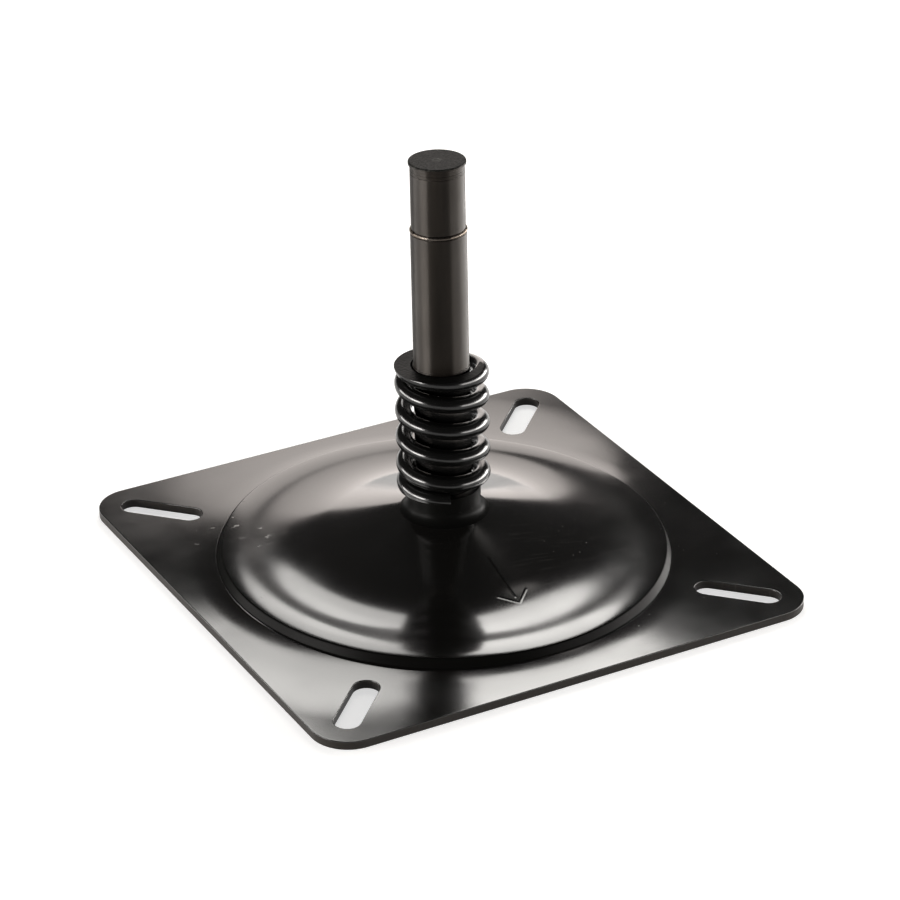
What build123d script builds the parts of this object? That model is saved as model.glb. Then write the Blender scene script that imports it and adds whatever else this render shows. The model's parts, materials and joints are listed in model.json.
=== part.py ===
from build123d import *
import math
import os

# A pin-type seat mount, millimetres, +Z up along the pin side.
# Origin: centre of the plate's flat underside, which bears on the seat.
# The seat's front is towards -Y.

# Plate
plate_width = 178.0
plate_corner_radius = 12.7
sheet_thickness = 3.0
plate_edge_round = 0.5

# Slots, one at each corner along the diagonal, inset from both edges to their centres
slot_inset = 19.0
slot_length = 28.5
slot_width = 8.7

# Dome, as the profile of the sheet's upper face
flange_width = 14.0
dome_wall_angle = 62.0
foot_fillet = 1.2
shoulder_width = 11.0
shoulder_height = 4.0
shoulder_arc_radius = 60.0
shoulder_inside_radius = 0.6
bell_arc_radius = 76.0
cone_angle = 18.3
dome_margin = 4.0

# Collar, drawn up from the dome's neck and bored at the pin's rake
neck_fillet = 4.0
collar_wall = 2.7
collar_height = 7.85
collar_trim = 3.0
bore_clearance = 0.05
bore_stock = 0.8

# Pin, raked towards the rear about a point in the collar
pin_rake = 2.5
rake_above_neck = 1.85
journal_diameter = 18.1
journal_length = 46.15
root_step = 0.2
root_clearance = 0.3
root_below_neck = 4.6
nose_relief = 0.3
nose_length = 18.95
pin_chamfer = 0.3

# Ring and its groove
ring_wire = 1.4
ring_proud = 0.23
ring_split = 2.6
groove_side_clearance = 0.05
groove_root_clearance = 0.08

# End cap
cap_flange_thickness = 1.1
cap_flange_overhang = 0.5
cap_rim_round = 0.4
cap_band_length = 2.7
cap_stem_diameter = 10.0
cap_stem_length = 12.0
cap_stem_chamfer = 0.8
cap_stem_clearance = 0.05
cap_hole_spare = 2.0
cap_gate_diameter = 1.8
cap_gate_depth = 0.2

# Spring, left-handed, with closed and ground ends; a tip is a share of the wire's thickness
spring_wire = 5.4
spring_bore_clearance = 0.75
spring_free_length = 43.0
spring_end_turns = 1.0
spring_active_turns = 3.46
spring_end_gap = 0.35
spring_bottom_tip = 0.5
spring_top_tip = 0.25
spring_start_angle = 249.6

# Weld between the pin's end and the collar's flared underside
weld_radius = 2.3
weld_reach = 1.65
weld_rise = 1.7

# Radii that follow
journal_radius = journal_diameter / 2
root_radius = journal_radius + root_step
nose_radius = journal_radius - nose_relief
bore_radius = root_radius + bore_clearance
collar_radius = bore_radius + collar_wall
dome_foot_radius = plate_width / 2 - flange_width
crest_radius = dome_foot_radius - shoulder_width
ring_centre_radius = journal_radius + ring_proud - ring_wire / 2
groove_radius = ring_centre_radius - ring_wire / 2 - groove_root_clearance
spring_mean_radius = root_radius + spring_bore_clearance + spring_wire / 2

# Heights that follow; from the collar upwards they run along the pin
cone_slope = math.tan(math.radians(cone_angle))
crest_height = sheet_thickness + shoulder_height
bell_end_radius = crest_radius - bell_arc_radius * math.sin(math.radians(cone_angle))
bell_end_height = crest_height + bell_arc_radius * (1 - math.cos(math.radians(cone_angle)))
neck_height = bell_end_height + (bell_end_radius - collar_radius) * cone_slope
rake_height = neck_height + rake_above_neck
pin_end = neck_height - root_below_neck
collar_top = neck_height + collar_height
spring_top = collar_top + spring_free_length
root_top = spring_top + root_clearance
groove_low = root_top + journal_length
groove_high = groove_low + ring_wire + 2 * groove_side_clearance
ring_height = (groove_low + groove_high) / 2
nose_top = groove_high + nose_length
cap_flange_low = nose_top + cap_band_length
cap_top = cap_flange_low + cap_flange_thickness

# Places a shape drawn along +Z on the raked pin axis
rake = Pos(0, 0, rake_height) * Rot(-pin_rake, 0, 0) * Pos(0, 0, -rake_height)
standing = (Align.CENTER, Align.CENTER, Align.MIN)


def turned(outline):
    """A solid of revolution about Z from its half section in X and Z."""
    return revolve(Plane.XZ * make_face(outline), Axis.Z)


def arc_point(centre, radius, angle):
    """A point of an arc, at an angle in degrees from straight above its centre."""
    turn = math.radians(angle)
    return (centre[0] + radius * math.sin(turn), centre[1] + radius * math.cos(turn))


def line_meets_arc(start, angle, centre, radius):
    """Where a line that leaves a point inwards, at an angle above the flat, comes out of an arc's circle."""
    along = (-math.cos(math.radians(angle)), math.sin(math.radians(angle)))
    offset = (start[0] - centre[0], start[1] - centre[1])
    half_b = offset[0] * along[0] + offset[1] * along[1]
    rest = offset[0] ** 2 + offset[1] ** 2 - radius**2
    length = math.sqrt(half_b**2 - rest) - half_b
    return (start[0] + along[0] * length, start[1] + along[1] * length)


def sheet_side(depth, side_radius):
    """One side of the sheet at a depth under its upper face, from the flat to the collar's mouth.

    Gives its lines and arcs, its two ends, and the corners that are bends of the sheet.
    """
    foot_shift = depth * math.tan(math.radians(dome_wall_angle / 2))
    foot = (dome_foot_radius - foot_shift, sheet_thickness - depth)
    rim = (dome_foot_radius + dome_margin, foot[1])
    shoulder_centre = (crest_radius, crest_height - shoulder_arc_radius)
    shoulder_radius = shoulder_arc_radius - depth
    corner = line_meets_arc(foot, dome_wall_angle, shoulder_centre, shoulder_radius)
    corner_angle = math.degrees(math.asin((corner[0] - crest_radius) / shoulder_radius))
    shoulder_mid = arc_point(shoulder_centre, shoulder_radius, corner_angle / 2)
    crest = (crest_radius, crest_height - depth)
    bell_centre = (crest_radius, crest_height + bell_arc_radius)
    bell_radius = bell_arc_radius + depth
    bell_mid = arc_point(bell_centre, bell_radius, 180 + cone_angle / 2)
    bell_end = arc_point(bell_centre, bell_radius, 180 + cone_angle)
    neck = (side_radius, bell_end[1] + (bell_end[0] - side_radius) * cone_slope)
    mouth = (side_radius, collar_top + collar_trim)
    lines = [
        Line(rim, foot),
        Line(foot, corner),
        ThreePointArc(corner, shoulder_mid, crest),
        ThreePointArc(crest, bell_mid, bell_end),
        Line(bell_end, neck),
        Line(neck, mouth),
    ]
    return lines, (rim, mouth), (foot, corner, neck)


def sheet_section():
    """Half section of the stamping's round: foot, shoulder, bell and collar, with its bends."""
    upper, upper_ends, upper_bends = sheet_side(0, collar_radius)
    lower, lower_ends, lower_bends = sheet_side(sheet_thickness, bore_radius - bore_stock)
    ends = [Line(upper_ends[0], lower_ends[0]), Line(upper_ends[1], lower_ends[1])]
    section = make_face(upper + lower + ends)
    upper_radii = (foot_fillet, shoulder_inside_radius + sheet_thickness, neck_fillet)
    lower_radii = (foot_fillet + sheet_thickness, shoulder_inside_radius, neck_fillet + sheet_thickness)
    for point, radius in zip(upper_bends + lower_bends, upper_radii + lower_radii):
        bend = section.vertices().sort_by_distance(point)[0]
        section = fillet(bend, radius)
    return section


def make_mounting_plate():
    """The stamped plate with its dome, its slots and the raked bore."""
    outline = RectangleRounded(plate_width, plate_width, plate_corner_radius)
    blank = extrude(outline, sheet_thickness)
    blank = fillet(blank.edges().filter_by(Plane.XY), plate_edge_round)
    blank -= extrude(Circle(dome_foot_radius + dome_margin), sheet_thickness)
    plate = blank + revolve(Plane.XZ * sheet_section(), Axis.Z)
    slot = SlotOverall(slot_length, slot_width)
    slot_reach = math.sqrt(2) * (plate_width / 2 - slot_inset)
    for corner in range(4):
        place = Rot(0, 0, 45 + 90 * corner) * Pos(slot_reach, 0)
        plate -= extrude(place * slot, crest_height)
    bore_length = collar_top + collar_trim + collar_radius - pin_end
    plate -= rake * Pos(0, 0, pin_end) * Cylinder(bore_radius, bore_length, align=standing)
    trimmed = Cylinder(2 * collar_radius, collar_trim + collar_radius, align=standing)
    return plate - rake * Pos(0, 0, collar_top) * trimmed


def make_king_pin():
    """The turned pin: root, journal, ring groove, nose and the cap's hole."""
    hole_radius = cap_stem_diameter / 2 + cap_stem_clearance
    hole_floor = nose_top - cap_stem_length - cap_hole_spare
    outline = Polyline(
        (0, pin_end),
        (root_radius - pin_chamfer, pin_end),
        (root_radius, pin_end + pin_chamfer),
        (root_radius, root_top),
        (journal_radius, root_top),
        (journal_radius, groove_low),
        (groove_radius, groove_low),
        (groove_radius, groove_high),
        (nose_radius, groove_high),
        (nose_radius, nose_top - pin_chamfer),
        (nose_radius - pin_chamfer, nose_top),
        (hole_radius, nose_top),
        (hole_radius, hole_floor),
        (0, hole_floor),
        close=True,
    )
    return rake * turned(outline)


def make_snap_ring():
    """The split wire ring in the pin's groove, its gap at the rear."""
    gap_angle = math.degrees(ring_split / ring_centre_radius)
    section = Plane.XZ * Pos(ring_centre_radius, ring_height) * Circle(ring_wire / 2)
    ring = revolve(section, Axis.Z, 360 - gap_angle)
    return rake * Rot(0, 0, 90 + gap_angle / 2) * ring


def make_end_cap():
    """The moulded cap: flange with a rounded rim, band, plug stem and gate mark."""
    flange_radius = nose_radius + cap_flange_overhang
    stem_radius = cap_stem_diameter / 2
    stem_end = nose_top - cap_stem_length
    gate_floor = (0, cap_top - cap_gate_depth)
    gate_edge = (cap_gate_diameter / 2, cap_top)
    rim_centre = (flange_radius - cap_rim_round, cap_top - cap_rim_round)
    rim_points = [arc_point(rim_centre, cap_rim_round, angle) for angle in (0, 45, 90)]
    outline = [
        Polyline(gate_floor, gate_edge, rim_points[0]),
        ThreePointArc(*rim_points),
        Polyline(
            rim_points[2],
            (flange_radius, cap_flange_low),
            (nose_radius, cap_flange_low),
            (nose_radius, nose_top),
            (stem_radius, nose_top),
            (stem_radius, stem_end + cap_stem_chamfer),
            (stem_radius - cap_stem_chamfer, stem_end),
            (0, stem_end),
            gate_floor,
        ),
    ]
    return rake * turned(outline)


def make_compression_spring():
    """The spring: two closed end stretches, the open middle, and both ends ground flat."""
    end_pitch = spring_wire + spring_end_gap
    first_height = collar_top + (spring_bottom_tip - 0.5) * spring_wire
    last_height = spring_top + (0.5 - spring_top_tip) * spring_wire
    active_rise = last_height - first_height - 2 * spring_end_turns * end_pitch
    stretches = [
        (spring_end_turns, end_pitch),
        (spring_active_turns, active_rise / spring_active_turns),
        (spring_end_turns, end_pitch),
    ]
    section = Plane.XZ * Pos(spring_mean_radius, 0) * Circle(spring_wire / 2)
    reach = spring_mean_radius + spring_wire
    coil = None
    height = first_height
    angle = spring_start_angle
    for turns, pitch in stretches:
        path = Helix(pitch, turns * pitch, spring_mean_radius, lefthand=True)
        stretch = Pos(0, 0, height) * Rot(0, 0, angle) * sweep(section, path, is_frenet=True)
        coil = stretch if coil is None else coil + stretch
        height += turns * pitch
        angle -= turns * 360
    ground = Pos(0, 0, collar_top) * Cylinder(reach, spring_free_length, align=standing)
    return rake * (coil & ground)


def make_weld_bead(pin):
    """The weld's ring, laid on the collar's flared underside and cut back to the raked pin."""
    bead = Pos(root_radius + weld_reach, pin_end + weld_rise) * Circle(weld_radius)
    return revolve(Plane.XZ * (bead - sheet_section()), Axis.Z) - pin


king_pin = make_king_pin()
nodes = {
    "mounting_plate": make_mounting_plate(),
    "king_pin": king_pin,
    "compression_spring": make_compression_spring(),
    "snap_ring": make_snap_ring(),
    "end_cap": make_end_cap(),
    "weld_bead": make_weld_bead(king_pin),
}

os.makedirs("parts", exist_ok=True)
for name, shape in nodes.items():
    export_step(shape, f"parts/{name}.step")
    print(name, len(shape.solids()), "solid", round(shape.volume), "mm3")
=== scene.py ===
import json
import math

import bmesh
import bpy
from mathutils import Matrix, Quaternion, Vector


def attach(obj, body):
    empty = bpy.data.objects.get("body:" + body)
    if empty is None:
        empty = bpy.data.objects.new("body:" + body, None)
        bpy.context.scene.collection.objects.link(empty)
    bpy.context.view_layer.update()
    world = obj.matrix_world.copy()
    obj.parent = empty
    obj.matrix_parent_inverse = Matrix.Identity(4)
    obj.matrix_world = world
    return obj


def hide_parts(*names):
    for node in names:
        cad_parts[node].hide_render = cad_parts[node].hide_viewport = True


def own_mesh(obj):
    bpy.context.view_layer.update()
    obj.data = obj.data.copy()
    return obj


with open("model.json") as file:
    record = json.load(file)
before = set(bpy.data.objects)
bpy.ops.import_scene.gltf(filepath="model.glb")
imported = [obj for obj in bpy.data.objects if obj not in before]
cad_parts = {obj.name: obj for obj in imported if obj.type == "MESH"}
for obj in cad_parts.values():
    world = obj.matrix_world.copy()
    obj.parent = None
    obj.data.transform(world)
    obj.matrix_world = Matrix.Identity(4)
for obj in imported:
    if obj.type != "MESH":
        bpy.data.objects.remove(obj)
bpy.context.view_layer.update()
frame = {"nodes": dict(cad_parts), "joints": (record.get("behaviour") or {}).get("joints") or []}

mm = 0.001
joinGap = 1e-7
pinLine = next(joint for joint in frame["joints"] if joint["name"] == "spring_compression")
pinAxis = Vector(pinLine["axis"]).normalized()
print("frame loaded,", len(frame["nodes"]), "solids")


# camera, solved from the plate's corners; offsets are the frame's centre against the origin
camValues = {"azimuth": -29.444, "elevation": 28.31, "roll": 0.189, "distance": 1192.6,
             "across": -1.962, "above": -35.684, "lens": 143.98, "sensor": 36.0}
turn, tilt = math.radians(camValues["azimuth"]), math.radians(camValues["elevation"])
camBack = Vector((math.sin(turn) * math.cos(tilt), -math.cos(turn) * math.cos(tilt), math.sin(tilt)))
camRight = Vector((math.cos(turn), math.sin(turn), 0))
camRight = Matrix.Rotation(math.radians(camValues["roll"]), 3, camBack) @ camRight
camUp = camBack.cross(camRight)
camSpot = camBack * camValues["distance"] - camRight * camValues["across"] - camUp * camValues["above"]
camData = bpy.data.cameras.new("photoCamera")
camData.lens, camData.sensor_width = camValues["lens"], camValues["sensor"]
camera = bpy.data.objects.new("photoCamera", camData)
camFrame = Matrix((camRight, camUp, camBack)).transposed().to_4x4()
camera.matrix_world = Matrix.Translation(camSpot * mm) @ camFrame
bpy.context.scene.collection.objects.link(camera)
bpy.context.scene.camera = camera
farSide = -Vector((camBack.x, camBack.y, 0)).normalized()
rightSide = Vector((camRight.x, camRight.y, 0)).normalized()
print("camera set")


# small helpers for outlines, all in millimetres
def arcRun(centre, radius, start, end, count):
    turns = [math.radians(start + (end - start) * i / count) for i in range(count + 1)]
    return [(centre[0] + radius * math.sin(t), centre[1] + radius * math.cos(t)) for t in turns]


def lineRun(start, end, count):
    return [(start[0] + (end[0] - start[0]) * i / count, start[1] + (end[1] - start[1]) * i / count)
            for i in range(count + 1)]


def roundedRun(corners, guard, parts=4):
    # corners are (radius, height, bend); each bend becomes a small arc with a guard point on both sides
    run = []
    for i, (x, y, bend) in enumerate(corners):
        here = Vector((x, y))
        if bend == 0 or i in (0, len(corners) - 1):
            run.append((x, y))
            continue
        before = (Vector(corners[i - 1][:2]) - here).normalized()
        after = (Vector(corners[i + 1][:2]) - here).normalized()
        half = before.angle(after) / 2
        reach = bend / math.tan(half)
        centre = here + (before + after).normalized() * bend / math.sin(half)
        first, last = here + before * reach - centre, here + after * reach - centre
        run.append(tuple(here + before * (reach + guard)))
        for k in range(parts + 1):
            run.append(tuple(centre + first.slerp(last, k / parts).normalized() * bend))
        run.append(tuple(here + after * (reach + guard)))
    return run


def ring(radius, height, steps):
    return [(radius * math.cos(2 * math.pi * i / steps), radius * math.sin(2 * math.pi * i / steps), height)
            for i in range(steps)]


def addLoop(bm, points):
    return [bm.verts.new(p) for p in points]


def skin(bm, first, second):
    count = len(first)
    for i in range(count):
        k = (i + 1) % count
        bm.faces.new((first[i], first[k], second[k], second[i]))


def loopEdges(bm, loop):
    made = []
    for i, vert in enumerate(loop):
        pair = (vert, loop[(i + 1) % len(loop)])
        made.append(bm.edges.get(pair) or bm.edges.new(pair))
    return made


def closePole(bm, loop, point):
    tip = bm.verts.new(point)
    for i, vert in enumerate(loop):
        bm.faces.new((vert, loop[(i + 1) % len(loop)], tip))


def finishMesh(name, bm, materials, matrix=None):
    if matrix is not None:
        bm.transform(matrix)
    bm.transform(Matrix.Scale(mm, 4))
    bmesh.ops.remove_doubles(bm, verts=bm.verts, dist=joinGap)
    bmesh.ops.recalc_face_normals(bm, faces=bm.faces)
    for face in bm.faces:
        face.smooth = True
    mesh = bpy.data.meshes.new(name)
    bm.to_mesh(mesh)
    bm.free()
    for material in materials:
        mesh.materials.append(material)
    piece = bpy.data.objects.new(name, mesh)
    bpy.context.scene.collection.objects.link(piece)
    print(name, len(mesh.polygons), "faces")
    return piece


# small helpers for materials; most of a noise lies between these two values
noiseLow, noiseHigh = 0.3, 0.7


def startMaterial(name, values):
    material = bpy.data.materials.new(name)
    material.use_nodes = True
    tree = material.node_tree
    shader = tree.nodes["Principled BSDF"]
    for socket, value in values.items():
        shader.inputs[socket].default_value = value
    place = tree.nodes.new("ShaderNodeTexCoord")
    return material, tree, shader, place.outputs["Object"]


def addNode(tree, kind, sockets=None, **settings):
    made = tree.nodes.new(kind)
    for key, value in settings.items():
        setattr(made, key, value)
    for key, value in (sockets or {}).items():
        if isinstance(value, bpy.types.NodeSocket):
            tree.links.new(value, made.inputs[key])
        else:
            made.inputs[key].default_value = value
    return made


def noise(tree, place, scale, detail=2.0, rough=0.5):
    return addNode(tree, "ShaderNodeTexNoise", {"Vector": place, "Scale": scale, "Detail": detail,
                                                "Roughness": rough}).outputs[0]


def spread(tree, value, fromLow, fromHigh, toLow, toHigh):
    return addNode(tree, "ShaderNodeMapRange", {"Value": value, "From Min": fromLow, "From Max": fromHigh,
                                                "To Min": toLow, "To Max": toHigh}).outputs[0]


def combine(tree, operation, first, second):
    return addNode(tree, "ShaderNodeMath", {0: first, 1: second}, operation=operation).outputs[0]


def measure(tree, operation, first, second=(0.0, 0.0, 0.0)):
    return addNode(tree, "ShaderNodeVectorMath", {0: first, 1: second}, operation=operation).outputs["Value"]


def mapped(tree, place, scale, turned=0.0):
    return addNode(tree, "ShaderNodeMapping", {"Vector": place, "Rotation": (0.0, 0.0, turned),
                                               "Scale": scale}).outputs[0]


def blendValue(tree, share, first, second):
    return addNode(tree, "ShaderNodeMix", {0: share, 2: first, 3: second}, data_type="FLOAT").outputs[0]


def blendColour(tree, share, first, second):
    return addNode(tree, "ShaderNodeMix", {0: share, 6: first, 7: second}, data_type="RGBA").outputs[2]


def bump(tree, height, distance, under=None):
    made = addNode(tree, "ShaderNodeBump", {"Height": height, "Distance": distance, "Strength": 1.0})
    if under is not None:
        tree.links.new(under, made.inputs["Normal"])
    return made.outputs["Normal"]


# dip coat of the plate: deep gloss with a little orange peel, fine specks and faint scuffs
coatValues = {"colour": (0.0045, 0.0043, 0.0040, 1), "dust": (0.14, 0.135, 0.125, 1), "ior": 1.5,
              "level": 0.5, "gloss": 0.12, "dull": 0.40, "cloudScale": 55.0, "glossLess": 0.02,
              "glossMore": 0.035, "peel": 0.0000012, "peelScale": 900.0, "wave": 0.00002, "waveScale": 26.0,
              "bow": 0.0, "bowFrom": 0.0755, "bowTo": 0.1105,
              "specks": 0.7, "speckCells": 330.0, "speckCore": 0.04, "speckRim": 0.09,
              "patchScale": 38.0, "patchFrom": 0.56, "patchTo": 0.7,
              "scuffs": 0.1, "scuffTurn": -0.75, "scuffScale": (70.0, 1900.0, 70.0), "scuffFrom": 0.62,
              "scuffTo": 0.72, "rubScale": 17.0, "rubFrom": 0.5, "rubTo": 0.66}
nickValues = {"spot": (-0.0560, 0.0430, 0.0060), "reach": 0.020, "core": 0.5, "cells": 210.0, "slant": 0.85,
              "long": 0.5, "ragged": 0.004, "ragScale": 520.0, "chipCore": 0.06, "chipRim": 0.13,
              "fewFrom": 0.53, "fewTo": 0.57}


def addNicks(tree, place, values):
    # a handful of chipped spots, drawn out one way, round one place on the rim
    away = measure(tree, "DISTANCE", place, values["spot"])
    near = spread(tree, away, values["reach"] * values["core"], values["reach"], 1.0, 0.0)
    rags = addNode(tree, "ShaderNodeTexNoise", {"Vector": place, "Scale": values["ragScale"],
                                                "Detail": 3.0}).outputs["Color"]
    shaken = addNode(tree, "ShaderNodeVectorMath", {0: rags, 1: (values["ragged"],) * 3, 2: place},
                     operation="MULTIPLY_ADD").outputs[0]
    lie = mapped(tree, shaken, (values["long"], 1.0, 1.0), values["slant"])
    cells = addNode(tree, "ShaderNodeTexVoronoi", {"Vector": lie, "Scale": values["cells"],
                                                   "Randomness": 1.0}, voronoi_dimensions="2D").outputs
    chips = spread(tree, cells["Distance"], values["chipCore"], values["chipRim"], 1.0, 0.0)
    few = spread(tree, cells["Color"], values["fewFrom"], values["fewTo"], 0.0, 1.0)
    return combine(tree, "MULTIPLY", combine(tree, "MULTIPLY", chips, few), near)


def makeCoat(name, values, nicks=None):
    material, tree, shader, place = startMaterial(name, {"IOR": values["ior"],
                                                         "Specular IOR Level": values["level"]})
    cells = addNode(tree, "ShaderNodeTexVoronoi", {"Vector": place, "Scale": values["speckCells"],
                                                   "Randomness": 1.0})
    dots = spread(tree, cells.outputs["Distance"], values["speckCore"], values["speckRim"], 1.0, 0.0)
    patches = noise(tree, place, values["patchScale"], 3.0)
    patches = spread(tree, patches, values["patchFrom"], values["patchTo"], 0.0, 1.0)
    specks = combine(tree, "MULTIPLY", combine(tree, "MULTIPLY", dots, patches), values["specks"])
    streaks = noise(tree, mapped(tree, place, values["scuffScale"], values["scuffTurn"]), 1.0)
    streaks = spread(tree, streaks, values["scuffFrom"], values["scuffTo"], 0.0, 1.0)
    rubbed = noise(tree, place, values["rubScale"])
    rubbed = spread(tree, rubbed, values["rubFrom"], values["rubTo"], 0.0, 1.0)
    scuffs = combine(tree, "MULTIPLY", combine(tree, "MULTIPLY", streaks, rubbed), values["scuffs"])
    marks = combine(tree, "MAXIMUM", specks, scuffs)
    if nicks is not None:
        marks = combine(tree, "MAXIMUM", marks, addNicks(tree, place, nicks))
    tree.links.new(blendColour(tree, marks, values["colour"], values["dust"]), shader.inputs["Base Color"])
    cloud = spread(tree, noise(tree, place, values["cloudScale"], 4.0), noiseLow, noiseHigh,
                   values["gloss"] - values["glossLess"], values["gloss"] + values["glossMore"])
    tree.links.new(blendValue(tree, marks, cloud, values["dull"]), shader.inputs["Roughness"])
    surface = bump(tree, noise(tree, place, values["waveScale"], 1.0), values["wave"])
    if values["bow"]:
        # in the normals alone: the flat rim falls outwards, like a sprung pressing, and levels at the corners
        flat = addNode(tree, "ShaderNodeVectorMath", {0: place, 1: (1.0, 1.0, 0.0)}, operation="MULTIPLY")
        away = measure(tree, "LENGTH", flat.outputs[0])
        left = spread(tree, away, values["bowFrom"], values["bowTo"], 1.0, 0.0)
        surface = bump(tree, combine(tree, "MULTIPLY", left, left), values["bow"], surface)
    surface = bump(tree, noise(tree, place, values["peelScale"]), values["peel"], surface)
    tree.links.new(surface, shader.inputs["Normal"])
    return material


plateCoat = makeCoat("plateCoat", dict(coatValues, bow=0.0021), nickValues)
# painted shade: a darker, nearly unreflecting copy of the dip coat for the rim wall and the collar under the
# spring, so these steep bends look black
collarShadeCoat = makeCoat("collarShadeCoat", dict(coatValues, colour=(0.0026, 0.0026, 0.0024, 1), gloss=0.36,
                                         peel=0.00001, peelScale=400.0, level=0.020, specks=0.3))
edgeCoat = makeCoat("edgeCoat", dict(coatValues, colour=(0.0095, 0.0074, 0.0057, 1), gloss=0.44,
                                     peel=0.00012, peelScale=1100.0, level=0.2, specks=0.5, scuffs=0.3))
springCoat = makeCoat("springCoat", dict(coatValues, colour=(0.0022, 0.0022, 0.0021, 1), gloss=0.19,
                                         wave=0.00001, level=0.40, specks=0.4, scuffs=0.05))
groundCoat = makeCoat("groundCoat", dict(coatValues, colour=(0.005, 0.005, 0.0047, 1), gloss=0.45,
                                         peel=0.00015, peelScale=1000.0, level=0.03, specks=0.8, scuffs=0.3))
weldCoat = makeCoat("weldCoat", dict(coatValues, gloss=0.24, peel=0.00002, peelScale=300.0, specks=0.5,
                                     scuffs=0.2))
print("dip coats made")


# blackened steel of the pin: fine turning lines draw its gloss out along the axis; below the spring's top its
# root is drawn near black, partly its dip coat and partly painted shade inside the coils
steelValues = {"colour": (0.0040, 0.0033, 0.0027, 1), "bare": (0.0095, 0.0078, 0.0063, 1),
               "wornScale": (260.0, 260.0, 22.0), "wornFrom": 0.35, "wornTo": 0.75,
               "coatAndShade": (0.0025, 0.0025, 0.0025, 1), "coatShadeTop": 0.0710, "coatShadeFade": 0.0004, "coatShadeGloss": 0.12,
               "gloss": 0.45, "cloudScale": 90.0, "glossLess": 0.03, "glossMore": 0.04,
               "turning": 0.0000012, "turningScale": (30.0, 30.0, 5200.0), "drawnOut": 1.0, "drawnWay": 0.25,
               "ior": 1.5, "level": 0.31, "tint": (1.0, 0.92, 0.85, 1), "metal": 0.0}


def makeTurnedSteel(name, values):
    sockets = {"IOR": values["ior"], "Specular IOR Level": values["level"], "Specular Tint": values["tint"],
               "Metallic": values["metal"], "Anisotropic": values["drawnOut"],
               "Anisotropic Rotation": values["drawnWay"]}
    material, tree, shader, place = startMaterial(name, sockets)
    worn = noise(tree, mapped(tree, place, values["wornScale"]), 1.0, 5.0)
    worn = spread(tree, worn, values["wornFrom"], values["wornTo"], 0.0, 1.0)
    steel = blendColour(tree, worn, values["colour"], values["bare"])
    height = addNode(tree, "ShaderNodeSeparateXYZ", {0: place}).outputs["Z"]
    # painted shade, partly the dip coat: the pin turns near black and glossier below the spring's top, inside
    # the coils
    coated = spread(tree, height, values["coatShadeTop"] - values["coatShadeFade"], values["coatShadeTop"], 1.0, 0.0)
    tree.links.new(blendColour(tree, coated, steel, values["coatAndShade"]), shader.inputs["Base Color"])
    gloss = spread(tree, noise(tree, place, values["cloudScale"], 4.0), noiseLow, noiseHigh,
                   values["gloss"] - values["glossLess"], values["gloss"] + values["glossMore"])
    tree.links.new(blendValue(tree, coated, gloss, values["coatShadeGloss"]), shader.inputs["Roughness"])
    grooves = noise(tree, mapped(tree, place, values["turningScale"]), 1.0)
    tree.links.new(bump(tree, grooves, values["turning"]), shader.inputs["Normal"])
    around = addNode(tree, "ShaderNodeTangent", direction_type="RADIAL", axis="Z")
    tree.links.new(around.outputs[0], shader.inputs["Tangent"])
    return material


pinSteel = makeTurnedSteel("pinSteel", steelValues)
ringSteel = makeTurnedSteel("ringSteel", dict(steelValues, colour=(0.060, 0.050, 0.042, 1),
                                              bare=(0.13, 0.115, 0.10, 1), gloss=0.25, metal=1.0))


# moulded plastic of the cap: spark texture on the top with a pale gate mark; its band is shaded like the pin
capValues = {"colour": (0.004, 0.004, 0.0038, 1), "pale": (0.034, 0.034, 0.031, 1), "ior": 1.49,
             "level": 0.015, "gloss": 0.36, "glossLess": 0.06, "glossMore": 0.1, "grain": 0.00008,
             "grainScale": 1500.0, "grainRough": 0.6, "mottleScale": 1300.0, "mottleRough": 0.7,
             "mottleFrom": 0.42, "mottleTo": 0.68,
             "gate": (0.0, 0.00522, 0.14155), "gateColour": (0.13, 0.13, 0.12, 1), "gateReach": 0.0019,
             "gateCore": 0.25, "smudgeScale": 900.0, "smudgeFrom": 0.4, "smudgeTo": 0.6, "smudgeLeast": 0.2}


def makeCapPlastic(name, values):
    material, tree, shader, place = startMaterial(name, {"IOR": values["ior"],
                                                         "Specular IOR Level": values["level"]})
    grain = noise(tree, place, values["grainScale"], 3.0, values["grainRough"])
    mottle = noise(tree, place, values["mottleScale"], 4.0, values["mottleRough"])
    mottle = spread(tree, mottle, values["mottleFrom"], values["mottleTo"], 0.0, 1.0)
    plain = blendColour(tree, mottle, values["colour"], values["pale"])
    away = measure(tree, "DISTANCE", place, values["gate"])
    near = spread(tree, away, values["gateReach"] * values["gateCore"], values["gateReach"], 1.0, 0.0)
    smudge = noise(tree, place, values["smudgeScale"])
    smudge = spread(tree, smudge, values["smudgeFrom"], values["smudgeTo"], values["smudgeLeast"], 1.0)
    gate = combine(tree, "MULTIPLY", near, smudge)
    tree.links.new(blendColour(tree, gate, plain, values["gateColour"]), shader.inputs["Base Color"])
    gloss = spread(tree, grain, noiseLow, noiseHigh, values["gloss"] - values["glossLess"],
                   values["gloss"] + values["glossMore"])
    tree.links.new(gloss, shader.inputs["Roughness"])
    tree.links.new(bump(tree, grain, values["grain"]), shader.inputs["Normal"])
    return material


capPlastic = makeCapPlastic("capPlastic", capValues)
capSide = makeTurnedSteel("capSide", dict(steelValues, turning=0.000003, level=0.26))
print("steel and plastic made")


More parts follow.
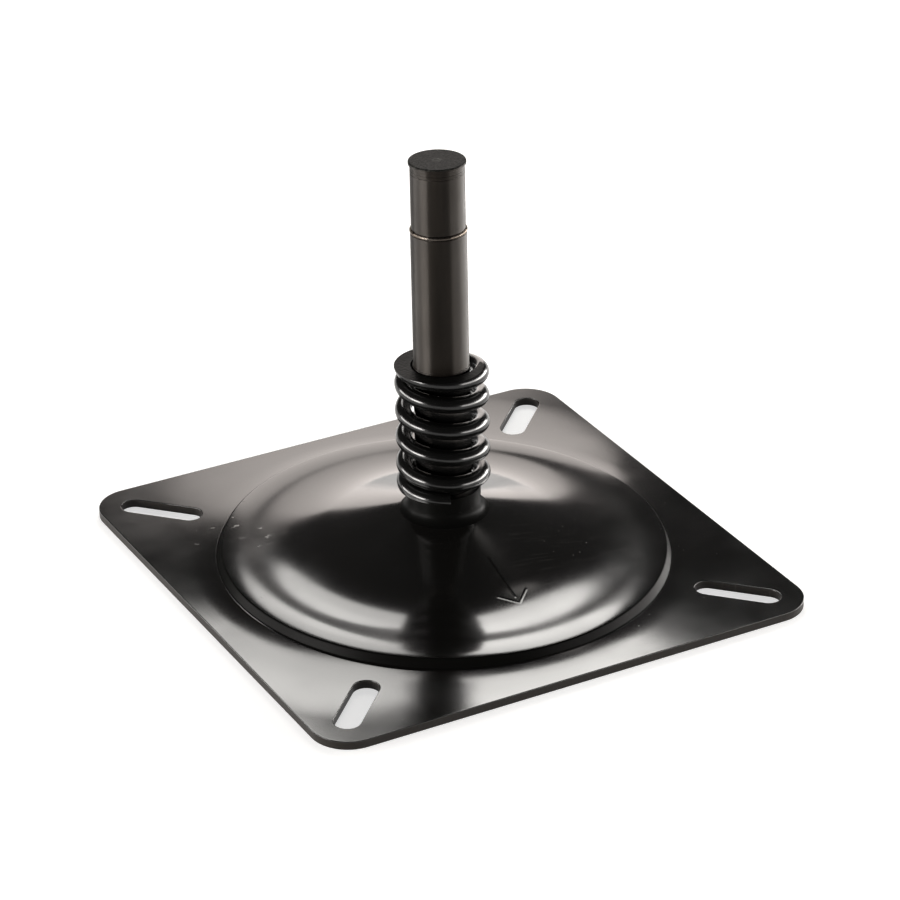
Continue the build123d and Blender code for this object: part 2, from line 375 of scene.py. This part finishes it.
# the stamped plate: flat rim with slots, low bell-shaped dome, drawn collar and the stamped arrow
plateValues = {"width": 178.0, "cornerRadius": 12.7, "cornerParts": 16, "thick": 3.0,
               "edge": 0.2, "edgeGuard": 0.15, "edgeParts": 6,
               "slotInset": 19.0, "slotLength": 28.5, "slotWidth": 8.7, "slotParts": 16,
               "slotEdge": 0.2, "slotGuard": 0.1, "slotEdgeParts": 4,
               "rim": 84.0, "rimCuts": 8, "foot": 75.0, "footBend": 0.5, "footGap": 0.2, "footCuts": 8,
               "wallAngle": 68.0, "wallTop": 6.2, "wallCuts": 3, "crest": 64.0, "crestHeight": 7.0,
               "shoulderArc": 60.0, "shoulderCuts": 10, "shoulderBend": 0.8, "bendCuts": 10,
               "bellArc": 76.0, "bellCuts": 26, "coneAngle": 18.3, "coneCuts": 26, "neckBend": 4.0,
               "neckCuts": 12, "collar": 12.0, "collarRise": 7.85, "collarShares": (0.35, 0.7),
               "collarEdge": 0.3, "collarGuard": 0.12, "collarParts": 4,
               "bore": 9.3, "boreEdge": 0.25, "boreFoot": 2.0, "boreClear": 0.4, "stock": 0.8,
               "rakeAbove": 1.85, "drawnLow": 0.12, "drawnHigh": 0.45, "steps": 288,
               "shadeFrom": 73.0, "shadeAbove": 3.02, "shadeTilt": 0.95, "shadeReach": 15.0, "shadeBelow": 1.8}
# the sheet is bent softer below
underValues = dict(plateValues, wallAngle=62.0, footBend=1.2, shoulderBend=3.6)
arrowValues = {"tail": -29.3, "shaftEnd": -46.5, "tip": -49.4, "barbWide": 5.25, "barbBack": -44.5,
               "halfWidth": 0.6, "depth": 0.095, "shaftDepth": 0.17, "fade": 0.75, "fadeFrom": 0.45,
               "fineWide": 7.0, "fineFront": -52.0, "fineRear": -27.0, "fineReach": 1.5, "cuts": 7,
               "pressWide": 8.0, "pressFront": -54.0, "pressRear": -25.0, "pressAbove": 6.5, "pressNear": 0.5}
coneTurn = math.radians(plateValues["coneAngle"])
coneSlope = math.tan(coneTurn)
bellEnd = (plateValues["crest"] - plateValues["bellArc"] * math.sin(coneTurn),
           plateValues["crestHeight"] + plateValues["bellArc"] * (1 - math.cos(coneTurn)))
neckHeight = bellEnd[1] + (bellEnd[0] - plateValues["collar"]) * coneSlope
rakeHeight = neckHeight + plateValues["rakeAbove"]
collarTop = neckHeight + plateValues["collarRise"]
lean = math.atan2(pinAxis.y, pinAxis.z)
rake = (Matrix.Translation((0, 0, rakeHeight)) @ Matrix.Rotation(-lean, 4, "X")
        @ Matrix.Translation((0, 0, -rakeHeight)))


def domeSide(values, depth, sideRadius):
    # half outline of one side of the sheet, from the flat rim inwards to the collar
    angle = math.radians(values["wallAngle"])
    foot = (values["foot"] - depth * math.tan(angle / 2), values["thick"] - depth)
    bend = values["footBend"] + depth
    footCentre = (foot[0] + bend * math.tan(angle / 2), foot[1] + bend)
    run = lineRun((values["rim"], foot[1]), (footCentre[0] + values["footGap"], foot[1]), values["rimCuts"])
    run += arcRun(footCentre, bend, 180, 180 + values["wallAngle"], values["footCuts"])
    # bend between wall and shoulder touches both
    bend = values["shoulderBend"] - depth
    along = Vector((-math.cos(angle), math.sin(angle)))
    outward = Vector((math.sin(angle), math.cos(angle)))
    shoulderCentre = Vector((values["crest"], values["crestHeight"] - values["shoulderArc"]))
    shoulder = values["shoulderArc"] - depth
    start = Vector(foot) - outward * bend - shoulderCentre
    back = start.dot(along)
    reach = math.sqrt(back ** 2 - start.length_squared + (shoulder - bend) ** 2) - back
    bendCentre = start + along * reach + shoulderCentre
    arm = bendCentre - shoulderCentre
    lastTurn = math.degrees(math.atan2(arm.x, arm.y))
    run += lineRun(run[-1], tuple(bendCentre + outward * bend), values["wallCuts"])[1:]
    run += arcRun(bendCentre, bend, values["wallAngle"], lastTurn, values["bendCuts"])[1:]
    run += arcRun(shoulderCentre, shoulder, lastTurn, 0, values["shoulderCuts"])[1:]
    bellCentre = (values["crest"], values["crestHeight"] + values["bellArc"])
    bell = values["bellArc"] + depth
    run += arcRun(bellCentre, bell, 180, 180 + values["coneAngle"], values["bellCuts"])[1:]
    # cone, then the bend up into the collar
    bend = values["neckBend"] + depth
    neck = (sideRadius, run[-1][1] + (run[-1][0] - sideRadius) * coneSlope)
    rise = bend * math.tan(math.radians(90 - values["coneAngle"]) / 2)
    neckCentre = (sideRadius + bend, neck[1] + rise)
    neckRun = arcRun(neckCentre, bend, 180 + values["coneAngle"], 270, values["neckCuts"])
    run += lineRun(run[-1], neckRun[0], values["coneCuts"])[1:]
    return run + neckRun[1:], neckCentre, bend


def drawnRing(values, radius, height):
    # pressing the dome draws the flat rim up a little at its foot, most in the narrow middles of the sides
    out = min(max((values["rim"] - radius) / (values["rim"] - values["foot"]), 0), 1)
    left = min(max((values["wallTop"] - height) / (values["wallTop"] - values["thick"]), 0), 1)
    points = []
    for x, y, z in ring(radius, height, values["steps"]):
        middle = math.cos(2 * math.atan2(y, x)) ** 2
        swell = values["drawnLow"] + (values["drawnHigh"] - values["drawnLow"]) * middle
        points.append((x, y, z + (swell * out * out * left if radius > values["crest"] else 0)))
    return points


def roundedSquare(values, inset, height):
    half, radius, parts = values["width"] / 2 - inset, values["cornerRadius"] - inset, values["cornerParts"]
    points = []
    for corner in range(4):
        cx = (half - radius) * (1 if corner in (0, 3) else -1)
        cy = (half - radius) * (1 if corner in (0, 1) else -1)
        for i in range(parts + 1):
            t = math.radians(corner * 90 + 90 * i / parts)
            points.append((cx + radius * math.cos(t), cy + radius * math.sin(t), height))
    return points


def slotOutline(values, corner, grow, height):
    turned, parts = math.radians(45 + 90 * corner), values["slotParts"]
    reach = math.sqrt(2) * (values["width"] / 2 - values["slotInset"])
    half, radius = (values["slotLength"] - values["slotWidth"]) / 2, values["slotWidth"] / 2 + grow
    points = []
    for side in (1, -1):
        for i in range(parts + 1):
            t = math.radians(-90 + 180 * i / parts) + (0 if side == 1 else math.pi)
            x, y = reach + side * half + radius * math.cos(t), radius * math.sin(t)
            points.append((x * math.cos(turned) - y * math.sin(turned),
                           x * math.sin(turned) + y * math.cos(turned), height))
    return points


def edgeRounds(thick, edge, guard, parts):
    # (step back from the wall, height) from the upper flat, over both rounded edges, to the lower flat
    turns = [math.pi / 2 * i / parts for i in range(parts + 1)]
    over = [(edge - edge * math.sin(t), thick - edge + edge * math.cos(t)) for t in turns]
    return ([(edge + guard, thick)] + over + [(0, thick - edge - guard), (0, edge + guard)]
            + [(b, thick - h) for b, h in reversed(over)] + [(edge + guard, 0)])


def strokeGap(x, y, first, second):
    a, b, p = Vector(first), Vector(second), Vector((x, y))
    along = (b - a).normalized()
    reach = min(max((p - a).dot(along), 0), (b - a).length)
    return (p - a - along * reach).length, reach / (b - a).length


def arrowStrokes(values):
    # start, end, depth, and whether the stroke fades out
    tip = (0, values["tip"])
    return [((0, values["tail"]), (0, values["shaftEnd"]), values["shaftDepth"], True),
            ((values["barbWide"], values["barbBack"]), tip, values["depth"], False),
            ((-values["barbWide"], values["barbBack"]), tip, values["depth"], False)]


def arrowDepth(x, y, values):
    deepest = 0.0
    for first, second, depth, fades in arrowStrokes(values):
        gap, share = strokeGap(x, y, first, second)
        if gap < values["halfWidth"]:
            late = max(0, share - values["fadeFrom"]) if fades else 0
            fade = 1 - values["fade"] * late / (1 - values["fadeFrom"])
            deepest = max(deepest, depth * fade * math.cos(math.pi / 2 * gap / values["halfWidth"]) ** 2)
    return deepest


def makePlate(values, arrow):
    bm = bmesh.new()
    steps, thick = values["steps"], values["thick"]
    upper = domeSide(values, 0, values["collar"])[0]
    lower, flareCentre, flare = domeSide(underValues, thick, values["bore"] - values["stock"])
    upperRings = [addLoop(bm, drawnRing(values, r, z)) for r, z in upper]
    # collar: its side stands straight, its lip is cut square to the raked pin
    lipLevel = (rakeHeight * math.cos(lean) + collarTop - rakeHeight) / math.cos(lean)

    def lip(radius, drop):
        return [(x, y, lipLevel - math.tan(lean) * y - drop) for x, y, _ in ring(radius, 0, steps)]

    edge, guard, low = values["collarEdge"], values["collarGuard"], upper[-1][1]
    for share in values["collarShares"]:
        side = [(x, y, low + (z - low) * share) for x, y, z in lip(values["collar"], edge)]
        upperRings.append(addLoop(bm, side))
    upperRings.append(addLoop(bm, lip(values["collar"], edge + guard)))
    for k in range(values["collarParts"] + 1):
        t = math.pi / 2 * k / values["collarParts"]
        radius = values["collar"] - edge + edge * math.cos(t)
        upperRings.append(addLoop(bm, lip(radius, edge - edge * math.sin(t))))
    upperRings.append(addLoop(bm, lip(values["collar"] - edge - guard, 0)))
    boreRings, cut = [], values["boreEdge"]
    for radius, height in ((values["bore"] + cut, collarTop), (values["bore"], collarTop - cut)):
        boreRings.append(addLoop(bm, [rake @ Vector(p) for p in ring(radius, height, steps)]))
    foot = []
    for point in ring(values["bore"], rakeHeight - values["boreFoot"], steps):
        x, y, _ = rake @ Vector(point)
        out = math.hypot(x, y) - flareCentre[0]
        foot.append((x, y, flareCentre[1] - math.sqrt(flare ** 2 - out ** 2)))
    boreRings.append(addLoop(bm, foot))
    lowerRings = [addLoop(bm, ring(r, z, steps)) for r, z in reversed(lower)
                  if r > values["bore"] + values["boreClear"]]
    rings = upperRings + boreRings + lowerRings
    for first, second in zip(rings, rings[1:]):
        skin(bm, first, second)
    # flat rim: rounded edges outside and in the slots, flats filled between the loops
    topEdges, lowEdges = loopEdges(bm, upperRings[0]), loopEdges(bm, lowerRings[-1])
    plateEdge = edgeRounds(thick, values["edge"], values["edgeGuard"], values["edgeParts"])
    slotEdge = edgeRounds(thick, values["slotEdge"], values["slotGuard"], values["slotEdgeParts"])
    outlines = [[roundedSquare(values, back, z) for back, z in plateEdge]]
    for corner in range(4):
        outlines.append([slotOutline(values, corner, back, z) for back, z in slotEdge])
    for outline in outlines:
        loops = [addLoop(bm, points) for points in outline]
        for first, second in zip(loops, loops[1:]):
            skin(bm, first, second)
        for vert in loops[len(loops) // 2]:
            for face in vert.link_faces:
                face.material_index = 1        # the sheared edge
        topEdges += loopEdges(bm, loops[0])
        lowEdges += loopEdges(bm, loops[-1])
    bmesh.ops.triangle_fill(bm, use_beauty=True, edges=topEdges, normal=(0, 0, 1))
    bmesh.ops.triangle_fill(bm, use_beauty=True, edges=lowEdges, normal=(0, 0, -1))
    # painted shade: the rim wall and the collar under the spring get the darker, nearly unreflecting coat
    wall = [i for i, (r, z) in enumerate(upper) if values["shadeFrom"] < r and values["shadeAbove"] < z]
    bm.normal_update()
    dull = {face for i in wall for vert in upperRings[i] for face in vert.link_faces
            if abs(face.normal.z) < values["shadeTilt"]}
    for face in bm.faces:
        centre = face.calc_center_median()
        away = math.hypot(centre.x, centre.y)
        if face in dull or (away < values["shadeReach"] and centre.z > neckHeight - values["shadeBelow"]):
            face.material_index = 2        # painted shade: the darker, nearly unreflecting coat in the steep bends
    # the arrow: a finer mesh round its strokes, pressed into the sheet
    upperFaces = {face for loop in upperRings for vert in loop for face in vert.link_faces}
    near = set()
    for face in upperFaces:
        x, y, _ = face.calc_center_median()
        if abs(x) < arrow["fineWide"] and arrow["fineFront"] < y < arrow["fineRear"]:
            gaps = [strokeGap(x, y, first, second)[0] for first, second, _, _ in arrowStrokes(arrow)]
            if min(gaps) < arrow["fineReach"]:
                near.update(face.edges)
    bmesh.ops.subdivide_edges(bm, edges=list(near), cuts=arrow["cuts"], use_grid_fill=True)
    for vert in bm.verts:
        x, y, z = vert.co
        inside = abs(x) < arrow["pressWide"] and arrow["pressFront"] < y < arrow["pressRear"]
        if inside and z > arrow["pressAbove"]:
            radius = math.hypot(x, y)
            if radius > bellEnd[0]:
                centre = values["crestHeight"] + values["bellArc"]
                flush = centre - math.sqrt(values["bellArc"] ** 2 - (values["crest"] - radius) ** 2)
            else:
                flush = bellEnd[1] + (bellEnd[0] - radius) * coneSlope
            if abs(flush - z) < arrow["pressNear"]:
                vert.co.z = flush - arrowDepth(x, y, arrow)
    bmesh.ops.triangulate(bm, faces=[face for face in bm.faces if len(face.verts) > 4], ngon_method="BEAUTY")
    return finishMesh("mountingPlate", bm, (plateCoat, edgeCoat, collarShadeCoat))


plate = makePlate(plateValues, arrowValues)


# the turned pin, drawn upright and then raked
pinValues = {"end": neckHeight - 4.6, "root": 9.25, "journal": 9.05, "nose": 8.75, "groove": 7.8,
             "rootTop": collarTop + 43.3, "journalLong": 46.15, "grooveLong": 1.5, "noseLong": 18.95,
             "hole": 5.05, "holeDeep": 14.0, "chamfer": 0.3, "break": 0.12, "rootBreak": 0.08,
             "stepRise": 0.02, "stepBend": 0.05, "guard": 0.06, "steps": 160}
grooveLow = pinValues["rootTop"] + pinValues["journalLong"]
pinTop = grooveLow + pinValues["grooveLong"] + pinValues["noseLong"]


def turnedPiece(name, run, steps, materials, sideBelow=None):
    bm = bmesh.new()
    rings = [addLoop(bm, ring(r, z, steps)) for r, z in run[1:-1]]
    for first, second in zip(rings, rings[1:]):
        skin(bm, first, second)
    closePole(bm, rings[0], (0, 0, run[0][1]))
    closePole(bm, rings[-1], (0, 0, run[-1][1]))
    if sideBelow is not None:
        for face in bm.faces:
            face.material_index = 1 if face.calc_center_median().z < sideBelow else 0
    return finishMesh(name, bm, materials, rake)


def makePin(values):
    high, hole = grooveLow + values["grooveLong"], pinTop - values["holeDeep"]
    bevel = values["break"]
    corners = [(0, values["end"], 0), (values["root"], values["end"], values["chamfer"]),
               (values["root"], values["rootTop"], values["rootBreak"]),
               (values["journal"], values["rootTop"] + values["stepRise"], values["stepBend"]),
               (values["journal"], grooveLow, bevel), (values["groove"], grooveLow, bevel),
               (values["groove"], high, bevel), (values["nose"], high, bevel),
               (values["nose"], pinTop, values["chamfer"]), (values["hole"], pinTop, bevel),
               (values["hole"], hole, bevel), (0, hole, 0)]
    return turnedPiece("kingPin", roundedRun(corners, values["guard"]), values["steps"], (pinSteel,))


pin = makePin(pinValues)


# the moulded end cap: flange, band, plug stem and the gate mark in the middle
capShape = {"flange": 9.25, "flangeThick": 1.098, "flangeBreak": 0.12, "rimRound": 0.4,
            "band": 8.75, "bandLong": 2.7, "bandBend": 0.1, "bandBreak": 0.15,
            "grooveStops": (1.25, 1.4, 1.6, 1.75), "grooveDeep": 0.1, "grooveBend": 0.05,
            "stem": 5.0, "stemLong": 12.0, "stemBend": 0.1, "stemRound": 0.8,
            "gate": 0.9, "gateDeep": 0.1, "gateShare": 0.5, "gateFall": 0.9, "gateBend": 0.1,
            "gateRound": 0.15, "sideBelow": 0.5, "guard": 0.04, "steps": 160}


def makeCap(values):
    low = pinTop + values["bandLong"]
    top, seat = low + values["flangeThick"], low - values["bandLong"]
    dent = top - values["gateDeep"] * values["gateFall"]
    corners = [(0, top - values["gateDeep"], 0),
               (values["gate"] * values["gateShare"], dent, values["gateBend"]),
               (values["gate"], top, values["gateRound"]), (values["flange"], top, values["rimRound"]),
               (values["flange"], low, values["flangeBreak"]), (values["band"], low, values["bandBend"])]
    for stop, deep in zip(values["grooveStops"], (0, values["grooveDeep"], values["grooveDeep"], 0)):
        corners.append((values["band"] - deep, low - stop, values["grooveBend"]))
    corners += [(values["band"], seat, values["bandBreak"]), (values["stem"], seat, values["stemBend"]),
                (values["stem"], seat - values["stemLong"], values["stemRound"]),
                (0, seat - values["stemLong"], 0)]
    run = roundedRun(corners, values["guard"])
    return turnedPiece("endCap", run, values["steps"], (capPlastic, capSide), low + values["sideBelow"])


cap = makeCap(capShape)


# the split wire ring in the pin's groove, its gap at the rear
ringValues = {"radius": 8.58, "wire": 0.7, "height": grooveLow + pinValues["grooveLong"] / 2, "gap": 2.6,
              "endRound": 0.18, "endShare": 0.3, "steps": 180, "sides": 28}


def hoopPoint(radius, height, angle, size, turned):
    # a point on a round section of the given size, on a hoop about the axis
    reach = radius + size * math.cos(turned)
    return reach * math.cos(angle), reach * math.sin(angle), height + size * math.sin(turned)


def makeRing(values):
    bm = bmesh.new()
    radius, height, wire, cut = values["radius"], values["height"], values["wire"], values["endRound"]
    split, slope = values["gap"] / radius, cut / radius
    first, last = math.pi / 2 + split / 2, math.pi / 2 + 2 * math.pi - split / 2
    ends = [(0, wire - cut), (slope * values["endShare"], wire - cut * values["endShare"])]
    stops = [(first + step, size) for step, size in ends]
    stops += [(first + slope + (last - first - 2 * slope) * i / values["steps"], wire)
              for i in range(values["steps"] + 1)]
    stops += [(last - step, size) for step, size in reversed(ends)]
    turns = [2 * math.pi * i / values["sides"] for i in range(values["sides"])]
    loops = [addLoop(bm, [hoopPoint(radius, height, angle, size, t) for t in turns]) for angle, size in stops]
    for one, two in zip(loops, loops[1:]):
        skin(bm, one, two)
    for loop, angle in ((loops[0], first), (loops[-1], last)):
        closePole(bm, loop, (radius * math.cos(angle), radius * math.sin(angle), height))
    return finishMesh("snapRing", bm, (ringSteel,), rake)


snapRing = makeRing(ringValues)


# the weld under the collar: one bead all round, with the ripples of its laying
weldValues = {"radius": 10.9, "bead": 2.3, "height": pinValues["end"] + 1.7, "ripples": 34, "ripple": 0.11,
              "trail": 0.05, "wobbles": ((0.06, 5, 0.7), (0.04, 11, 0.0)), "steps": 340, "sides": 28}


def makeWeld(values):
    bm = bmesh.new()
    loops = []
    for i in range(values["steps"]):
        angle = 2 * math.pi * i / values["steps"]
        wobble = sum(size * math.sin(count * angle + start) for size, count, start in values["wobbles"])
        points = []
        for k in range(values["sides"]):
            t = 2 * math.pi * k / values["sides"]
            lag = angle + values["trail"] * math.cos(2 * t)        # ripples trail like scales
            saw = (lag * values["ripples"] / (2 * math.pi)) % 1.0
            dip = 1 - math.sqrt(max(0, 1 - (2 * saw - 1) ** 2))
            size = values["bead"] - values["ripple"] * dip - abs(wobble)
            points.append(hoopPoint(values["radius"], values["height"], angle, size, t))
        loops.append(addLoop(bm, points))
    for one, two in zip(loops, loops[1:] + loops[:1]):
        skin(bm, one, two)
    return finishMesh("weldBead", bm, (weldCoat,))


weld = makeWeld(weldValues)


# the spring: a node tree lays the wire along its helix, then both ends are ground flat
springValues = {"Coil Radius": 12.7 * mm, "Wire Radius": 2.7 * mm, "End Turns": 1.0, "Active Turns": 3.46,
                "End Pitch": 5.75 * mm, "Active Pitch": 0.0, "Foot Height": collarTop * mm,
                "Start Angle": math.radians(249.6), "Path Points": 440, "Wire Sides": 36}
# topTip is the share of the wire's thickness that grinding leaves at the tip
springEnds = {"free": 43.0, "wire": 5.4, "topTip": 0.25, "crease": 32.0}
rise = (springEnds["free"] + (0.5 - springEnds["topTip"]) * springEnds["wire"]) * mm
rise -= 2 * springValues["End Pitch"]
springValues["Active Pitch"] = rise / springValues["Active Turns"]


def springTree():
    tree = bpy.data.node_groups.new("springCoil", "GeometryNodeTree")
    tree.interface.new_socket(name="Geometry", in_out="OUTPUT", socket_type="NodeSocketGeometry")
    for name, value in springValues.items():
        kind = "NodeSocketInt" if isinstance(value, int) else "NodeSocketFloat"
        tree.interface.new_socket(name=name, in_out="INPUT", socket_type=kind)
    tree.interface.new_socket(name="Coat", in_out="INPUT", socket_type="NodeSocketMaterial")
    sizes = tree.nodes.new("NodeGroupInput").outputs
    line = addNode(tree, "GeometryNodeCurvePrimitiveLine", {"End": (0, 0, 1)})
    path = addNode(tree, "GeometryNodeResampleCurve", {"Curve": line.outputs[0],
                                                       "Count": sizes["Path Points"]})
    share = tree.nodes.new("GeometryNodeSplineParameter").outputs["Factor"]
    ends = combine(tree, "MULTIPLY", sizes["End Turns"], 2.0)
    turns = combine(tree, "MULTIPLY", share, combine(tree, "ADD", ends, sizes["Active Turns"]))
    # turns so far in the closed foot, in the open middle and in the closed top
    footTurns = combine(tree, "MINIMUM", turns, sizes["End Turns"])
    past = combine(tree, "MAXIMUM", combine(tree, "SUBTRACT", turns, sizes["End Turns"]), 0.0)
    openTurns = combine(tree, "MINIMUM", past, sizes["Active Turns"])
    topTurns = combine(tree, "MAXIMUM", combine(tree, "SUBTRACT", past, sizes["Active Turns"]), 0.0)
    closed = combine(tree, "MULTIPLY", combine(tree, "ADD", footTurns, topTurns), sizes["End Pitch"])
    opened = combine(tree, "MULTIPLY", openTurns, sizes["Active Pitch"])
    height = combine(tree, "ADD", combine(tree, "ADD", closed, opened), sizes["Foot Height"])
    angle = combine(tree, "SUBTRACT", sizes["Start Angle"], combine(tree, "MULTIPLY", turns, 2 * math.pi))
    across = combine(tree, "MULTIPLY", sizes["Coil Radius"], combine(tree, "COSINE", angle, 0.0))
    along = combine(tree, "MULTIPLY", sizes["Coil Radius"], combine(tree, "SINE", angle, 0.0))
    spot = addNode(tree, "ShaderNodeCombineXYZ", {"X": across, "Y": along, "Z": height})
    helix = addNode(tree, "GeometryNodeSetPosition", {"Geometry": path.outputs[0],
                                                      "Position": spot.outputs[0]})
    upright = addNode(tree, "GeometryNodeSetCurveNormal", {"Curve": helix.outputs[0]}, mode="Z_UP")
    wire = addNode(tree, "GeometryNodeCurvePrimitiveCircle", {"Resolution": sizes["Wire Sides"],
                                                              "Radius": sizes["Wire Radius"]})
    tube = addNode(tree, "GeometryNodeCurveToMesh", {"Curve": upright.outputs[0],
                                                     "Profile Curve": wire.outputs[0], "Fill Caps": True})
    whole = addNode(tree, "GeometryNodeRealizeInstances", {"Geometry": tube.outputs[0]})
    coated = addNode(tree, "GeometryNodeSetMaterial", {"Geometry": whole.outputs[0],
                                                       "Material": sizes["Coat"]})
    result = tree.nodes.new("NodeGroupOutput")
    tree.links.new(coated.outputs[0], result.inputs[0])
    return tree


def makeSpring():
    holder = bpy.data.objects.new("springPath", bpy.data.meshes.new("springPath"))
    bpy.context.scene.collection.objects.link(holder)
    modifier = holder.modifiers.new("springCoil", "NODES")
    modifier.node_group = springTree()
    for item in modifier.node_group.interface.items_tree:
        if item.in_out == "INPUT":
            modifier[item.identifier] = springCoat if item.name == "Coat" else springValues[item.name]
    graph = bpy.context.evaluated_depsgraph_get()
    mesh = bpy.data.meshes.new_from_object(holder.evaluated_get(graph))
    holder.modifiers.remove(modifier)
    bpy.data.objects.remove(holder)
    bm = bmesh.new()
    bm.from_mesh(mesh)
    bmesh.ops.remove_doubles(bm, verts=bm.verts, dist=joinGap)
    # grind both ends square
    for level, side in ((collarTop * mm, -1), ((collarTop + springEnds["free"]) * mm, 1)):
        parts = bm.verts[:] + bm.edges[:] + bm.faces[:]
        bmesh.ops.bisect_plane(bm, geom=parts, plane_co=(0, 0, level), plane_no=(0, 0, side),
                               clear_outer=True)
        rim = [edge for edge in bm.edges if edge.is_boundary]
        filled = bmesh.ops.triangle_fill(bm, use_beauty=True, edges=rim, normal=(0, 0, side))
        for part in filled["geom"]:
            if isinstance(part, bmesh.types.BMFace):
                part.material_index = 1
    bm.transform(Matrix.Scale(1 / mm, 4))
    bmesh.ops.recalc_face_normals(bm, faces=bm.faces)
    for edge in bm.edges:
        if edge.is_manifold and edge.calc_face_angle(0) > math.radians(springEnds["crease"]):
            edge.smooth = False
    bpy.data.meshes.remove(mesh)
    return finishMesh("compressionSpring", bm, (springCoat, groundCoat), rake)


spring = makeSpring()


# every piece rides on its body and stands for its solid
seats = ((plate, "base", "mounting_plate", "plate_black"), (pin, "base", "king_pin", "pin_black"),
         (cap, "base", "end_cap", "cap_plastic"), (snapRing, "base", "snap_ring", "ring_steel"),
         (weld, "base", "weld_bead", "weld_black"), (spring, "spring", "compression_spring", "spring_black"))
for piece, body, node, slot in seats:
    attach(piece, body)
    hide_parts(node)
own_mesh(spring)
print("pieces seated")


# floor: white card that keeps the soft shadow
floorValues = {"radius": 5.0, "sides": 64, "sunk": 0.0002, "colour": (0.745, 0.74, 0.73, 1), "rough": 0.9,
               "lift": 0.62, "near": 0.7, "far": 1.5}


def makeFloor(values):
    material, tree, shader, place = startMaterial("floorCard", {"Roughness": values["rough"],
                                                                "Specular IOR Level": 0.0,
                                                                "Base Color": values["colour"]})
    rays = tree.nodes.new("ShaderNodeLightPath").outputs
    seen = combine(tree, "ADD", combine(tree, "ADD", rays["Is Camera Ray"], rays["Is Glossy Ray"]),
                   rays["Is Transmission Ray"])
    shader.inputs["Emission Color"].default_value = (1, 1, 1, 1)
    # the card is white of itself beyond the lights' reach
    away = measure(tree, "LENGTH", place)
    white = spread(tree, away, values["near"], values["far"], values["lift"], 1.0)
    lift = combine(tree, "MULTIPLY", combine(tree, "MINIMUM", seen, 1.0), white)
    tree.links.new(lift, shader.inputs["Emission Strength"])
    bm = bmesh.new()
    bmesh.ops.create_circle(bm, cap_ends=True, segments=values["sides"], radius=values["radius"])
    mesh = bpy.data.meshes.new("floor")
    bm.to_mesh(mesh)
    bm.free()
    mesh.materials.append(material)
    floor = bpy.data.objects.new("floor", mesh)
    floor.location.z = -values["sunk"]
    bpy.context.scene.collection.objects.link(floor)


makeFloor(floorValues)


# studio lights; bearings are degrees from the far side of the object, to the right as the camera sees it
farLight = {"away": 0.8, "roll": 0, "shape": "ELLIPSE", "colour": (1.0, 0.98, 0.945)}
sideLight = {"rise": 6.0, "away": 1.35, "roll": 0, "shape": "RECTANGLE", "colour": (1.0, 0.97, 0.94)}
lightValues = {
    "farLeft": dict(farLight, bearing=-10.8, rise=42.6, size=(0.150, 0.274), roll=20, power=0.74),
    "farRight": dict(farLight, bearing=8.8, rise=43.9, size=(0.206, 0.220), roll=-12, power=1.18),
    "farGlow": dict(farLight, bearing=2.0, rise=39.0, size=(0.34, 0.18), power=0.16),
    "farWall": dict(farLight, bearing=-1.5, rise=5.0, size=(0.748, 1.304), roll=-12, power=6.8, away=1.5,
                    colour=(1.0, 0.92, 0.87)),
    "farHigh": dict(farLight, bearing=24.8, rise=53.6, size=(0.056, 0.110), power=0.030,
                    colour=(1.0, 0.95, 0.90)),
    "leftBox": dict(sideLight, bearing=-122.0, size=(0.724, 0.360), power=28.7),
    "leftSoft": dict(sideLight, bearing=-88.0, size=(0.93, 0.360), power=17.6),
    "rightBox": dict(sideLight, bearing=65.0, size=(1.317, 0.360), power=37.0),
    "rightSoft": dict(sideLight, bearing=111.0, size=(0.983, 0.360), power=14.8),
}
for name, value in lightValues.items():
    bearing, climb = math.radians(value["bearing"]), math.radians(value["rise"])
    level = farSide * math.cos(bearing) + rightSide * math.sin(bearing)
    aim = level * math.cos(climb) + Vector((0, 0, math.sin(climb)))
    data = bpy.data.lights.new(name, "AREA")
    data.shape, data.size, data.size_y = value["shape"], value["size"][0], value["size"][1]
    data.energy, data.color = value["power"], value["colour"]
    light = bpy.data.objects.new(name, data)
    light.location = aim * value["away"]
    light.rotation_mode = "QUATERNION"
    roll = Quaternion((0, 0, 1), math.radians(value["roll"]))
    light.rotation_quaternion = aim.to_track_quat("Z", "Y") @ roll
    light.visible_camera = False
    bpy.context.scene.collection.objects.link(light)

# world: dim studio, paler towards the horizon
worldValues = {"high": (0.05, 0.05, 0.05, 1), "low": (0.28, 0.28, 0.275, 1), "from": 0.0, "to": 0.10}
world = bpy.data.worlds.new("studio")
world.use_nodes = True
bpy.context.scene.world = world
sky = world.node_tree
around = sky.nodes.new("ShaderNodeTexCoord").outputs["Generated"]
height = addNode(sky, "ShaderNodeSeparateXYZ", {0: around}).outputs["Z"]
fade = addNode(sky, "ShaderNodeMapRange", {"Value": height, "From Min": worldValues["from"],
                                           "From Max": worldValues["to"], "To Min": 0.0, "To Max": 1.0},
               interpolation_type="SMOOTHSTEP").outputs[0]
glow = blendColour(sky, fade, worldValues["low"], worldValues["high"])
sky.links.new(glow, sky.nodes["Background"].inputs["Color"])

bpy.context.scene.view_settings.view_transform = "Standard"
print("stage and lights set")
